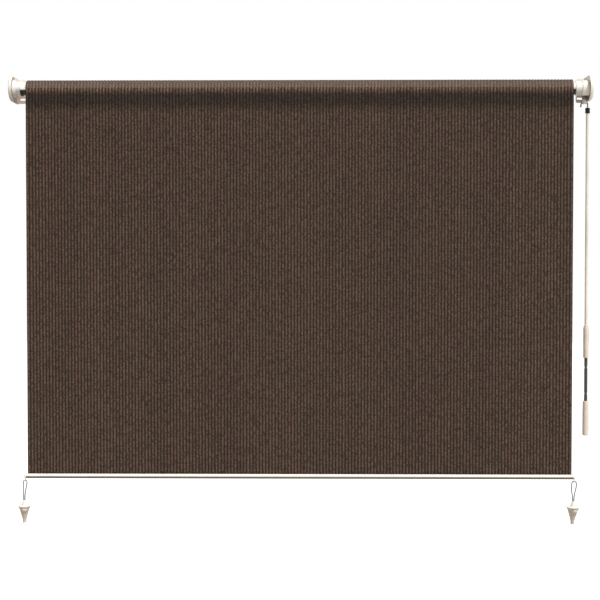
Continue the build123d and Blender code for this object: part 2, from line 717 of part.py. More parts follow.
def eye_pin():
    """Spring pin through the eye's collar and the worm shaft."""
    reach = EYE_COLLAR_RADIUS
    return rod_y(CENTRE_DISTANCE - reach, CENTRE_DISTANCE + reach, EYE_PIN_RADIUS, WORM_X, EYE_PIN_Z)


def hook():
    """Bent steel wire that hangs in the eye and runs down into the ferrule."""
    run_left = WORM_X - EYE_RADIUS - 4
    path = FilletPolyline(
        (run_left - 3.0, CENTRE_DISTANCE, HOOK_Z - 18.5),
        (run_left, CENTRE_DISTANCE, HOOK_Z),
        (WAND_X, CENTRE_DISTANCE, HOOK_Z),
        (WAND_X, CENTRE_DISTANCE, ROD_TOP),
        radius=4.8,
    )
    section = Plane(origin=path @ 0, z_dir=path % 0) * Circle(HOOK_WIRE / 2)
    return sweep(section, path=path)


def wand_turned(points):
    """Piece turned about the wand's own line."""
    return turned_z(points, WAND_X, CENTRE_DISTANCE)


def hook_ferrule():
    """Dark moulded sleeve that joins the hook's shank to the rod, with a waist round its middle."""
    foot = FERRULE_TOP - FERRULE_LENGTH
    middle = FERRULE_TOP - FERRULE_LENGTH / 2
    radius = FERRULE_RADIUS
    sleeve = wand_turned(
        [
            (HOOK_WIRE / 2, FERRULE_TOP),
            (radius - 2, FERRULE_TOP),
            (radius, FERRULE_TOP - 2),
            (radius, middle + 2.5),
            (radius - 1.2, middle + 1.5),
            (radius - 1.2, middle - 1.5),
            (radius, middle - 2.5),
            (radius, foot + 2),
            (radius - 2, foot),
            (ROD_RADIUS, foot),
            (ROD_RADIUS, ROD_TOP),
            (HOOK_WIRE / 2, ROD_TOP),
        ]
    )
    return sleeve


def wand_rod():
    """Coated steel rod of the wand."""
    return post(KNUCKLE_TOP, ROD_TOP, ROD_RADIUS, WAND_X, CENTRE_DISTANCE)


def grip_stop():
    """Small collar on the rod above the upper grip."""
    top = UPPER_GRIP_TOP + END_GAP + STOP_HEIGHT
    outer = ROD_RADIUS + 2.5
    return wand_turned(
        [
            (ROD_RADIUS, top),
            (outer - 1.5, top),
            (outer, top - 2),
            (outer, UPPER_GRIP_TOP + END_GAP),
            (ROD_RADIUS, UPPER_GRIP_TOP + END_GAP),
        ]
    )


def upper_grip():
    """Moulded sleeve that spins on the rod, with a tapered top and a rounded foot."""
    foot = UPPER_GRIP_TOP - UPPER_GRIP_LENGTH
    bore = ROD_RADIUS + FIT_GAP
    radius = UPPER_GRIP_RADIUS
    return wand_turned(
        [
            (bore, UPPER_GRIP_TOP),
            (radius - 2, UPPER_GRIP_TOP),
            (radius - 0.6, UPPER_GRIP_TOP - 2),
            (radius, UPPER_GRIP_TOP - 12),
            (radius, foot + 2),
            (radius - 1, foot),
            (bore, foot),
        ]
    )


def about_knuckle(piece, pin_z):
    """Places a piece made about the origin at a knuckle's pin, which lies along Y."""
    return Pos(WAND_X, CENTRE_DISTANCE, pin_z) * piece


def fork(pin_z, body_z, side):
    """Two cheeks about a pin, on a round body that ends at body_z on the given side."""
    radius = KNUCKLE_RADIUS
    half = TANG_THICKNESS / 2 + TANG_GAP
    end = body_z - pin_z
    bar = block(-radius, radius, -radius, radius, 0, side * KNUCKLE_SHOULDER)
    bar += rod_y(-radius, radius, radius)
    cheeks = (bar & post(-2 * radius, 2 * radius, radius)) + post(side * (KNUCKLE_SHOULDER - 1), end, radius)
    cheeks -= block(-radius, radius, -half, half, -side * radius, side * KNUCKLE_SHOULDER)
    return about_knuckle(cheeks - rod_y(-radius, radius, KNUCKLE_PIN_RADIUS), pin_z)


def upper_fork():
    """Dark moulded fork on the foot of the rod."""
    return fork(UPPER_KNUCKLE_Z, KNUCKLE_TOP, 1)


def knuckle_pin(pin_z):
    """Steel pin across a fork."""
    reach = KNUCKLE_RADIUS - 0.6
    return about_knuckle(rod_y(-reach, reach, KNUCKLE_PIN_RADIUS), pin_z)


def tang(pin_z, side):
    """Flat round-ended tongue about a pin, with its root on the given side."""
    half = TANG_THICKNESS / 2
    tongue = rod_y(-half, half, TANG_WIDTH / 2)
    tongue += block(-TANG_WIDTH / 2, TANG_WIDTH / 2, -half, half, 0, side * (KNUCKLE_SHOULDER + 1))
    return about_knuckle(tongue - rod_y(-half, half, KNUCKLE_PIN_RADIUS + RUNNING_GAP), pin_z)


def crank_arm():
    """Dark steel arm of the crank, with a tongue at each end."""
    top = UPPER_KNUCKLE_Z - KNUCKLE_SHOULDER
    foot = LOWER_KNUCKLE_Z + KNUCKLE_SHOULDER
    bar = post(foot, top, KNUCKLE_RADIUS, WAND_X, CENTRE_DISTANCE)
    return bar + tang(UPPER_KNUCKLE_Z, -1) + tang(LOWER_KNUCKLE_Z, 1)


def lower_fork():
    """Dark fork with the spindle that the lower grip turns on."""
    shoulder = LOWER_GRIP_TOP + END_GAP
    spindle_foot = LOWER_GRIP_TOP - LOWER_GRIP_LENGTH + 8
    body = fork(LOWER_KNUCKLE_Z, shoulder, -1)
    return body + post(spindle_foot, shoulder, ROD_RADIUS - 1, WAND_X, CENTRE_DISTANCE)


def lower_grip():
    """Moulded handle, closed at its foot, that spins on the spindle."""
    foot = LOWER_GRIP_TOP - LOWER_GRIP_LENGTH
    bore = ROD_RADIUS - 1 + FIT_GAP
    radius = LOWER_GRIP_RADIUS
    bore_foot = foot + 7
    return wand_turned(
        [
            (bore, LOWER_GRIP_TOP),
            (radius - 2, LOWER_GRIP_TOP),
            (radius - 0.9, LOWER_GRIP_TOP - 2),
            (radius, LOWER_GRIP_TOP - 60),
            (radius, foot + 4),
            (radius - 1.5, foot + 1),
            (radius - 3, foot),
            (0, foot),
            (0, bore_foot),
            (bore, bore_foot),
        ]
    )


# Bottom rail


def rail_outline(grow=0.0):
    """Upright oval of the rail in (y, z)."""
    rounding = RAIL_DEPTH / 2 + grow - 0.05
    oval = RectangleRounded(RAIL_DEPTH + 2 * grow, RAIL_HEIGHT + 2 * grow, rounding)
    return Pos(SHEET_Y, -DROP - RAIL_HEIGHT / 2) * oval


def spline_channel():
    """Keyhole along the rail's top, for the hem pocket and the neck of the fabric."""
    neck = 2 * (LAYER_THICKNESS + RIB_HEIGHT)
    hole = Pos(SHEET_Y, POCKET_Z) * Circle(POCKET_RADIUS + SHEET_GAP)
    return hole + Pos(SHEET_Y, -DROP) * Rectangle(neck, 2 * (-DROP - POCKET_Z))


def rail_hollow():
    """Lower hollow of the rail, under the channel's wall."""
    floor = Pos(SHEET_Y, POCKET_Z) * Circle(POCKET_RADIUS + SHEET_GAP + RAIL_WALL)
    neck = 2 * (LAYER_THICKNESS + RIB_HEIGHT) + 2 * RAIL_WALL
    wall = Pos(SHEET_Y, -DROP) * Rectangle(neck, 2 * (-DROP - POCKET_Z))
    return rail_outline(-RAIL_WALL) - floor - wall


def bottom_rail():
    """Extruded aluminium rail with a keyhole channel and a hollow below it."""
    left = RAIL_X - RAIL_LENGTH / 2
    section = rail_outline() - spline_channel() - rail_hollow()
    return slab_x(section, left, left + RAIL_LENGTH)


def rail_cap():
    """Right-hand moulded cap: a domed end, a tongue in the rail and a lug for the cord."""
    end = RAIL_LENGTH / 2
    dome = slab_x(rail_outline(), end, end + CAP_LENGTH)
    dome = fillet(dome.faces().sort_by(Axis.X)[-1].edges(), CAP_LENGTH / 2)
    hollow = rail_hollow() & (
        Pos(SHEET_Y, RAIL_BOTTOM + RAIL_HEIGHT / 4) * Rectangle(RAIL_DEPTH, RAIL_HEIGHT / 2)
    )
    tongue = slab_x(offset(hollow, -FIT_GAP), end - CAP_TONGUE, end + 1)
    lug_x = end + CAP_LENGTH / 2
    lug_plan = Pos(SHEET_Y, LUG_Z) * Circle(LUG_RADIUS)
    lug_plan += Pos(SHEET_Y, (LUG_Z + RAIL_BOTTOM + 4) / 2) * Rectangle(
        2 * LUG_RADIUS, RAIL_BOTTOM + 4 - LUG_Z
    )
    lug = slab_x(lug_plan, lug_x - LUG_THICKNESS / 2, lug_x + LUG_THICKNESS / 2)
    hole = rod_x(lug_x - 5, lug_x + 5, CORD_RADIUS + LUG_GAP, SHEET_Y, LUG_Z)
    return Pos(RAIL_X, 0, 0) * (dome + tongue + lug - hole)


def left_rail_cap():
    """The cap of the rail's other end."""
    return Pos(RAIL_X, 0, 0) * mirrored(Pos(-RAIL_X, 0, 0) * rail_cap())


def hem_spline():
    """Plastic rod in the hem pocket, which holds the fabric in the rail."""
    return rod_x(FABRIC_LEFT, FABRIC_RIGHT, SPLINE_RADIUS, SHEET_Y, POCKET_Z)


# Hold-down cords and anchors

# Route of each cord's loop as (x from the lug, z), up one strand, through the lug and down the other
RIGHT_LOOP = [
    (-7.0, CORD_FERRULE_TOP),
    (-7.0, -1826.0),
    (-11.4, -1803.0),
    (-12.9, -1780.0),
    (-9.6, LUG_Z),
    (7.2, LUG_Z),
    (10.2, -1771.0),
    (7.4, -1788.0),
    (2.6, -1807.0),
    (-1.2, -1828.0),
    (-1.2, CORD_FERRULE_TOP),
]
LEFT_LOOP = [
    (-7.2, CORD_FERRULE_TOP),
    (-7.2, -1826.0),
    (-8.9, -1803.0),
    (-8.4, -1779.0),
    (-6.6, LUG_Z),
    (6.6, LUG_Z),
    (8.4, -1770.0),
    (5.2, -1786.0),
    (1.0, -1805.0),
    (-1.4, -1827.0),
    (-1.4, CORD_FERRULE_TOP),
]


def cord_radii(points):
    """Radius at each corner: 0.45 of the shorter run over the tangent of half the turn."""
    vectors = [Vector(*b) - Vector(*a) for a, b in zip(points, points[1:])]
    radii = []
    for before, after in zip(vectors, vectors[1:]):
        turn = math.radians(before.get_angle(after))
        radii.append(0.45 * min(before.length, after.length) / math.tan(turn / 2))
    return radii


def hold_down_cord(name, route, lug_x):
    """Elastic cord: one loop from the ferrule up through the lug and back."""
    points = [(lug_x + x, SHEET_Y, z) for x, z in route]
    radii = cord_radii(points)
    print(name, "radii", [round(radius, 1) for radius in radii])
    path = FilletPolyline(*points, radius=radii)
    section = Plane(origin=path @ 0, z_dir=path % 0) * Circle(CORD_RADIUS)
    cord = sweep(section, path=path)
    ideal = math.pi * CORD_RADIUS**2 * path.length
    print(name, "length", round(path.length, 1), "volume over ideal", round(cord.volume / ideal, 4))
    return cord


def strand_middle(route, lug_x):
    """X of the middle of the two strands where they enter the ferrule."""
    return lug_x + (route[0][0] + route[-1][0]) / 2


def cord_ferrule(x):
    """Moulded ferrule that grips both ends of the cord's loop."""
    foot = CORD_FERRULE_TOP - CORD_FERRULE_LENGTH
    radius = CORD_FERRULE_RADIUS
    points = [
        (0, CORD_FERRULE_TOP),
        (radius - 2, CORD_FERRULE_TOP),
        (radius - 0.5, CORD_FERRULE_TOP - 2),
        (radius - 0.5, CORD_FERRULE_TOP - 8),
        (radius, CORD_FERRULE_TOP - 12),
        (radius, foot),
        (0, foot),
    ]
    return turned_z(points, x, SHEET_Y)


def shield(width, depth):
    """Anchor section: straight back, round front, drawn about the cord's line."""
    front = ANCHOR_BACK - depth
    side = ANCHOR_BACK - 0.35 * depth
    half = width / 2
    outline = [
        Line((-half, ANCHOR_BACK), (half, ANCHOR_BACK)),
        Line((half, ANCHOR_BACK), (half, side)),
        ThreePointArc((half, side), (0, front), (-half, side)),
        Line((-half, side), (-half, ANCHOR_BACK)),
    ]
    return make_face(Wire(outline))


def anchor():
    """Moulded hold-down anchor about the cord's line, top at z = 0: shield, bowl, stem and pockets."""
    taper = ANCHOR_HEIGHT - 14
    body = loft(
        [
            Plane.XY * shield(ANCHOR_WIDTH, ANCHOR_DEPTH),
            Plane.XY.offset(-taper / 3) * shield(0.66 * ANCHOR_WIDTH, 0.7 * ANCHOR_DEPTH),
            Plane.XY.offset(-taper) * shield(ANCHOR_STEM_WIDTH, ANCHOR_STEM_DEPTH),
        ],
        ruled=True,
    )
    stem = extrude(Plane.XY.offset(-taper) * shield(ANCHOR_STEM_WIDTH, ANCHOR_STEM_DEPTH), amount=-14)
    bowl = Pos(0, -9, -22) * scale(Sphere(15), by=(1.0, 1.05, 0.78))
    body = body + stem + bowl
    wedge_depth = 2 * ANCHOR_DEPTH
    wedge = Pos(0, ANCHOR_BACK, 0) * Rot(ANCHOR_TOP_SLOPE, 0, 0) * block(
        -ANCHOR_WIDTH, ANCHOR_WIDTH, -wedge_depth, 10, 0, 40
    )
    body -= wedge
    body -= post(-CORD_SEAT, 10, CORD_FERRULE_RADIUS + FIT_GAP)
    half = ANCHOR_SCREW_SPACING / 2
    for x in (-half, half):
        pocket = block(x - 4.5, x + 4.5, -3.5, ANCHOR_BACK - 3.5, -11, 10)
        pocket = fillet(pocket.edges().filter_by(Axis.Z), 2.5)
        body -= pocket
        body -= rod_y(0, ANCHOR_BACK + 1, ANCHOR_SCREW_RADIUS, x, -5.5)
    return body


def placed_anchor(x, turn):
    """The anchor under its ferrule, turned a little about the cord's line."""
    return Pos(x, SHEET_Y, ANCHOR_TOP) * Rot(0, 0, turn) * anchor()


def export(name, piece):
    """Move a piece from the roller's axis to the wall frame and write it."""
    moved = Pos(0, -WALL_TO_AXIS, 0) * piece
    export_step(moved, "parts/" + name + ".step")


RIGHT_CORD_X = strand_middle(RIGHT_LOOP, RIGHT_LUG_X)
LEFT_CORD_X = strand_middle(LEFT_LOOP, LEFT_LUG_X)

export("left_bracket", mirrored(bracket(PIN_RADIUS + FIT_GAP, SOCKET_SCREWS)))
export("right_bracket", bracket(WHEEL_HUB_RADIUS + 1, HOUSING_SCREWS))
export("left_end_cover", mirrored(end_cover()))
export("right_end_cover", end_cover())
export("idler_socket", idler_socket())
export("idler_socket_screws", mirrored(plate_screws(SOCKET_SCREWS, SOCKET_SCREW_DEPTH)))
export("idler_barrel", idler_barrel())
export("idler_pin", idler_pin())
export("idler_clip", idler_clip())
export("idler_bush", idler_bush())
export("left_end_plug", left_end_plug())
export("roller_tube", roller_tube())
export("right_end_plug", right_end_plug())
export("drive_collar", drive_collar())
export("collar_set_screws", collar_set_screws())
export("drive_shaft", drive_shaft())
export("fabric_roll", fabric_roll())
export("fabric_sheet", fabric_sheet())
export("worm_wheel", worm_wheel())
export("worm_shaft", worm_shaft())
export("upper_worm_bush", worm_bush(WORM_LENGTH / 2 + 4, JOURNAL_TOP))
export("lower_worm_bush", worm_bush(NECK_BOTTOM, NECK_TOP - 1))
export("gear_housing", gear_housing())
export("gear_cover", gear_cover())
export("oil_plug", oil_plug())
export("gear_housing_screws", plate_screws(HOUSING_SCREWS, HOUSING_SCREW_DEPTH))
export("crank_eye", crank_eye())
export("eye_pin", eye_pin())
export("hook", hook())
export("hook_ferrule", hook_ferrule())
export("wand_rod", wand_rod())
export("grip_stop", grip_stop())
export("upper_grip", upper_grip())
export("upper_fork", upper_fork())
export("upper_knuckle_pin", knuckle_pin(UPPER_KNUCKLE_Z))
export("crank_arm", crank_arm())
export("lower_fork", lower_fork())
export("lower_knuckle_pin", knuckle_pin(LOWER_KNUCKLE_Z))
export("lower_grip", lower_grip())
export("bottom_rail", bottom_rail())
export("left_rail_cap", left_rail_cap())
export("right_rail_cap", rail_cap())
export("hem_spline", hem_spline())
export("left_cord", hold_down_cord("left_cord", LEFT_LOOP, LEFT_LUG_X))
export("right_cord", hold_down_cord("right_cord", RIGHT_LOOP, RIGHT_LUG_X))
export("left_cord_ferrule", cord_ferrule(LEFT_CORD_X))
export("right_cord_ferrule", cord_ferrule(RIGHT_CORD_X))
export("left_anchor", placed_anchor(LEFT_CORD_X, 8))
export("right_anchor", placed_anchor(RIGHT_CORD_X, 14))
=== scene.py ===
"""Roller shade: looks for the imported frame, laid out as an add-on and run as a script."""

import math

import bmesh
import bpy
from bpy.props import FloatProperty, FloatVectorProperty, IntProperty, PointerProperty
from mathutils import Euler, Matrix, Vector, noise


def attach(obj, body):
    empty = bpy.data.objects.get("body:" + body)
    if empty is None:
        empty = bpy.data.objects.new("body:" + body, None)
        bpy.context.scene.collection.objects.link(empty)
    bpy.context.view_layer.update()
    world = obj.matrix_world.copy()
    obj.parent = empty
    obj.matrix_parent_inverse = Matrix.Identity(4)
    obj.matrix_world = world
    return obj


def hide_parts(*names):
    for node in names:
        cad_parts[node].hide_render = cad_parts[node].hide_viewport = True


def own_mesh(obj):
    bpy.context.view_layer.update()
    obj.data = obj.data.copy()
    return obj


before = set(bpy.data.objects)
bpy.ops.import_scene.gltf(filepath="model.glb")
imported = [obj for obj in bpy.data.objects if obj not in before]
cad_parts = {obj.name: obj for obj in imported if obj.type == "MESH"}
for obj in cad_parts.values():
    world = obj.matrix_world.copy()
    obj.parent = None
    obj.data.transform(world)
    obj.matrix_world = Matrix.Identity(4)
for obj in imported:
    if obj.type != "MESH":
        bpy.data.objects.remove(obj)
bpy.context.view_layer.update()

bl_info = {
    "name": "Roller shade looks",
    "version": (1, 0, 0),
    "blender": (4, 5, 0),
    "location": "View3D > Sidebar > Shade",
    "description": "Dresses the packed roller shade: cloth, cords, finishes and stage",
    "category": "Object",
}

# Places in the shade's frame, in metres, as part.py has them in millimetres
AXIS_Y = -0.1
SHEET_Y = -0.138975
FABRIC_LEFT = -1.224
FABRIC_RIGHT = 1.214
DROP = 1.726
ROLL_RADIUS = 0.038
LAYER_PITCH = 0.001
ROLL_TURNS = 3
KNIT_STAND = 0.0003
CORD_DIAMETER = 0.005
CORD_FERRULE_TOP = -1.846
LUG_Z = -1.7557
RIGHT_LUG_X = 1.2265
LEFT_LUG_X = -1.2365
PLATE_X = 1.286
PLATE_RADIUS = 0.054
HEM_STITCH = 0.013
TUCK_DEPTH = 0.0008
TUCK_HEIGHT = 0.012
SENSOR_WIDTH = 36.0
BRAID = 2 * math.pi / 0.0013

# Heights between which painted shade, painted light or the hem's stitching sets in, from the first to
# the second
ANCHOR_LIP = (-1.8745, -1.8715)
COVER_SHADE = (0.01, -0.05)
SOCKET_SHADE = (0.008, -0.022)
BARREL_SHADE = (0.006, -0.008)
COLLAR_SHADE = (0.004, -0.03)
PLUG_SHADE = (-0.003, -0.009)
HOUSING_SHADOW_LINE = (-0.0325, -0.0345)
HOUSING_FOOT = (-0.0375, -0.0395)
RAIL_UNDERSIDE_SHADE = (-1.7355, -1.7380)
SHEET_SHADOW = (-0.118, -0.062)
# Painted highlight along the sheet's top, where it meets the roll
SHEET_TOP_HIGHLIGHT = (-0.034, 0.006)
SHEET_HEM = (0.010 - DROP, 0.008 - DROP)
# Painted light on the roll's front sets in between these heights
ROLL_FRONT_LIGHT = (0.0, 0.03)
ROLL_TOP = (0.0335, 0.0370)

# Grain of the knit's textures along x, y and z
WANDER_GRAIN = (14.0, 14.0, 55.0)
FLECK_GRAIN = (170.0, 170.0, 105.0)
HUE_GRAIN = (26.0, 26.0, 9.0)
DYE_GRAIN = (5.2, 0.2, 0.35)

# Each cord's loop as (x from the lug, z), up one strand, through the lug and down the other
RIGHT_LOOP = (
    (-0.0070, CORD_FERRULE_TOP),
    (-0.0070, -1.8260),
    (-0.0114, -1.8030),
    (-0.0129, -1.7800),
    (-0.0096, LUG_Z),
    (0.0072, LUG_Z),
    (0.0102, -1.7710),
    (0.0074, -1.7880),
    (0.0026, -1.8070),
    (-0.0012, -1.8280),
    (-0.0012, CORD_FERRULE_TOP),
)
LEFT_LOOP = (
    (-0.0072, CORD_FERRULE_TOP),
    (-0.0072, -1.8260),
    (-0.0089, -1.8030),
    (-0.0084, -1.7790),
    (-0.0066, LUG_Z),
    (0.0066, LUG_Z),
    (0.0084, -1.7700),
    (0.0052, -1.7860),
    (0.0010, -1.8050),
    (-0.0014, -1.8270),
    (-0.0014, CORD_FERRULE_TOP),
)


def linear(red, green, blue):
    """Linear colour of an 8-bit sRGB one."""
    shades = []
    for value in (red, green, blue):
        share = value / 255
        shades.append(share / 12.92 if share <= 0.04045 else ((share + 0.055) / 1.055) ** 2.4)
    return tuple(shades)


def colour(name, red, green, blue):
    """A colour property with its default."""
    return FloatVectorProperty(
        name=name, subtype="COLOR", size=3, min=0.0, max=1.0, default=linear(red, green, blue)
    )


class ClothSettings(bpy.types.PropertyGroup):
    """Knitted fabric of the sheet and the roll."""

    rib_pitch: FloatProperty(name="Rib pitch", default=0.01426, min=0.004, max=0.05, unit="LENGTH")
    rib_height: FloatProperty(name="Rib height", default=0.0005, min=0.0, max=0.002, unit="LENGTH")
    roll_rib: FloatProperty(name="Roll rib height", default=0.0014, min=0.0, max=0.003, unit="LENGTH")
    rib_columns: IntProperty(name="Columns for each rib", default=6, min=4, max=8)
    sheet_rows: IntProperty(name="Sheet rows", default=56, min=8, max=80)
    roll_steps: IntProperty(name="Roll steps for each turn", default=64, min=24, max=90)
    sway: FloatProperty(name="Sheet sway", default=0.0009, min=0.0, max=0.003, unit="LENGTH")
    stitch: FloatProperty(name="Stitch pitch", default=0.0068, min=0.002, max=0.03, unit="LENGTH")
    # Share by which the roll's knit is mixed towards a flat grey-brown, a greyer copy of the sheet's
    # knit
    roll_greying: FloatProperty(name="Fading of the roll", default=0.4, min=0.0, max=1.0)
    light: colour("Crests", 114, 95, 82)
    dark: colour("Valleys", 39, 25, 17)
    # Flat grey-brown that the roll's knit is mixed towards
    grey_yarn: colour("Faded yarn", 92, 80, 72)
    warm: colour("Warm yarn", 90, 64, 55)
    olive: colour("Olive yarn", 72, 65, 46)


class FinishSettings(bpy.types.PropertyGroup):
    """Colours of the mouldings, coatings and metals, some of them standing for painted shade."""

    ivory: colour("Ivory moulding", 248, 244, 234)
    grey: colour("Ivory moulding in the shade", 181, 178, 171)
    coat: colour("Ivory coating", 247, 242, 230)
    # Ivory coating in painted shade, for the left bracket's plate and flange
    tan: colour("Tan coating", 192, 172, 158)
    grip: colour("Grips", 228, 214, 199)
    rod: colour("Rod", 238, 229, 216)
    dark_steel: colour("Dark steel", 84, 86, 80)
    hook: colour("Hook", 142, 144, 138)
    # Grime colour: random grime spots on the brackets, and painted shade on the cover, under the
    # housing and under the rail
    grime_and_shade: colour("Grime", 66, 56, 48)
    # Right plate's coating in painted shade, also painted on the gear housing's foot
    bracket: colour("Right bracket", 150, 130, 118)
    flange: colour("Right flange", 240, 231, 221)
    anchor: colour("Anchor", 206, 194, 178)
    black: colour("Black moulding", 26, 25, 24)
    cord: colour("Cord", 142, 142, 138)
    zinc: colour("Zinc", 176, 176, 172)
    bronze: colour("Bronze", 168, 128, 72)


class StageSettings(bpy.types.PropertyGroup):
    """Camera, lamps and floor."""

    camera_at: FloatVectorProperty(name="Camera", size=3, default=(0.079, -5.9152, -0.7736))
    pitch: FloatProperty(name="Down", default=math.radians(1.700), subtype="ANGLE")
    yaw: FloatProperty(name="Left", default=math.radians(0.786), subtype="ANGLE")
    focal: FloatProperty(name="Focal length in frame widths", default=1294 / 600, min=0.5, max=5)
    sky: FloatProperty(name="Sky", default=0.43, min=0.0, max=2.0)
    key: FloatProperty(name="Key lamp", default=3.25, min=0.0, max=10.0)
    key_size: FloatProperty(name="Key lamp size", default=math.radians(14), subtype="ANGLE")
    key_tilt: FloatProperty(name="Key lamp tilt", default=math.radians(38), subtype="ANGLE")
    key_turn: FloatProperty(name="Key lamp turn", default=math.radians(38), subtype="ANGLE")
    floor_z: FloatProperty(name="Floor", default=-3.0, unit="LENGTH")
    floor_reach: FloatProperty(name="Floor's half width", default=30.0, unit="LENGTH")
    floor_glow: FloatProperty(name="Floor glow", default=0.12, min=0.0, max=1.0)
    floor_seen: FloatVectorProperty(name="Floor as seen", size=3, default=(0.94, 0.94, 0.94))
    floor_bounce: FloatVectorProperty(name="Floor's bounce", size=3, default=(0.60, 0.56, 0.52))


class ShadeSettings(bpy.types.PropertyGroup):
    """All settings of the add-on."""

    cloth: PointerProperty(type=ClothSettings)
    finish: PointerProperty(type=FinishSettings)
    stage: PointerProperty(type=StageSettings)


# Materials


class Graph:
    """One material's nodes, on Object coordinates."""

    def __init__(self, name, base, roughness, metallic=0.0, specular=0.5):
        self.material = bpy.data.materials.new(name)
        self.material.use_nodes = True
        self.tree = self.material.node_tree
        self.shader = self.tree.nodes["Principled BSDF"]
        self.shader.inputs["Base Color"].default_value = (*base, 1.0)
        self.shader.inputs["Roughness"].default_value = roughness
        self.shader.inputs["Metallic"].default_value = metallic
        self.shader.inputs["Specular IOR Level"].default_value = specular
        self.place = self.add("ShaderNodeTexCoord", {}).outputs["Object"]

    def add(self, kind, inputs, **settings):
        """A node with its settings, and values or links in its inputs."""
        node = self.tree.nodes.new(kind)
        for key, value in settings.items():
            setattr(node, key, value)
        for key, value in inputs.items():
            self.put(node.inputs[key], value)
        return node

    def put(self, socket, value):
        """A value or a link in a socket."""
        if isinstance(value, bpy.types.NodeSocket):
            self.tree.links.new(value, socket)
        elif hasattr(value, "__len__") and len(value) == 3 and socket.type == "RGBA":
            socket.default_value = (*value, 1.0)
        else:
            socket.default_value = value

    def sum(self, operation, first, second=0.0, third=0.0):
        """Result of a math node."""
        node = self.add("ShaderNodeMath", {0: first, 1: second, 2: third}, operation=operation)
        return node.outputs[0]

    def axes(self):
        """The three Object coordinates."""
        parts = self.add("ShaderNodeSeparateXYZ", {0: self.place})
        return parts.outputs[0], parts.outputs[1], parts.outputs[2]

    def stretched(self, scale):
        """Object coordinates scaled along each axis."""
        node = self.add("ShaderNodeMapping", {"Vector": self.place, "Scale": scale})
        return node.outputs[0]

    def noise(self, vector, scale, detail=2.0, rough=0.5):
        """Value of a noise texture."""
        node = self.add(
            "ShaderNodeTexNoise",
            {"Vector": vector, "Scale": scale, "Detail": detail, "Roughness": rough},
        )
        return node.outputs["Fac"]

    def spread(self, value, low, high, to_low=0.0, to_high=1.0, smooth=False):
        """Value mapped from one range to another."""
        node = self.add(
            "ShaderNodeMapRange",
            {0: value, 1: low, 2: high, 3: to_low, 4: to_high},
            interpolation_type="SMOOTHSTEP" if smooth else "LINEAR",
        )
        return node.outputs[0]

    def mix(self, share, first, second, blend="MIX"):
        """Two colours mixed."""
        node = self.add("ShaderNodeMix", {}, data_type="RGBA", blend_type=blend)
        self.put(node.inputs["Factor"], share)
        self.put(node.inputs["A"], first)
        self.put(node.inputs["B"], second)
        return node.outputs["Result"]

    def paint(self, value):
        """Colour of the surface."""
        self.put(self.shader.inputs["Base Color"], value)

    def rough(self, value):
        """Roughness of the surface."""
        self.put(self.shader.inputs["Roughness"], value)

    def bump(self, height, distance, strength=1.0):
        """Relief of the surface."""
        node = self.add(
            "ShaderNodeBump", {"Height": height, "Distance": distance, "Strength": strength}
        )
        self.put(self.shader.inputs["Normal"], node.outputs[0])


def moulded(name, base, roughness=0.38, mottling=0.10):
    """Moulded plastic: faint mottling, fine grain and uneven gloss."""
    graph = Graph(name, base, roughness)
    cloud = graph.noise(graph.place, 35.0, 3.0)
    shade = tuple(value * (1 - mottling) for value in base)
    graph.paint(graph.mix(graph.spread(cloud, 0.35, 0.68), base, shade))
    grain = graph.noise(graph.place, 1400.0, 2.0)
    graph.rough(graph.spread(cloud, 0.3, 0.7, roughness - 0.05, roughness + 0.1))
    graph.bump(grain, 0.00015, 0.5)
    return graph.material


def coated(name, base, roughness=0.45, mottling=0.08, metallic=0.0):
    """Powder coating: orange peel, faint mottling and uneven gloss."""
    graph = Graph(name, base, roughness, metallic)
    cloud = graph.noise(graph.place, 18.0, 4.0)
    shade = tuple(value * (1 - mottling) for value in base)
    graph.paint(graph.mix(graph.spread(cloud, 0.35, 0.7), base, shade))
    peel = graph.noise(graph.place, 520.0, 1.0)
    graph.rough(graph.spread(cloud, 0.3, 0.7, roughness - 0.06, roughness + 0.12))
    graph.bump(peel, 0.0002, 0.45)
    return graph.material


def graded(material, heights, tint, share=1.0):
    """Tints a painted material from the first height down to the second one."""
    tree = material.node_tree
    shader = tree.nodes["Principled BSDF"].inputs["Base Color"]
    split = tree.nodes.new("ShaderNodeSeparateXYZ")
    spread = tree.nodes.new("ShaderNodeMapRange")
    tinted = tree.nodes.new("ShaderNodeMix")
    place = next(node for node in tree.nodes if node.bl_idname == "ShaderNodeTexCoord")
    tree.links.new(place.outputs["Object"], split.inputs[0])
    tree.links.new(split.outputs["Z"], spread.inputs[0])
    for index, value in enumerate((heights[0], heights[1], 0.0, share)):
        spread.inputs[index + 1].default_value = value
    tinted.data_type = "RGBA"
    tree.links.new(spread.outputs[0], tinted.inputs["Factor"])
    tree.links.new(shader.links[0].from_socket, tinted.inputs["A"])
    tinted.inputs["B"].default_value = (*tint, 1.0)
    tree.links.new(tinted.outputs["Result"], shader)
    return material


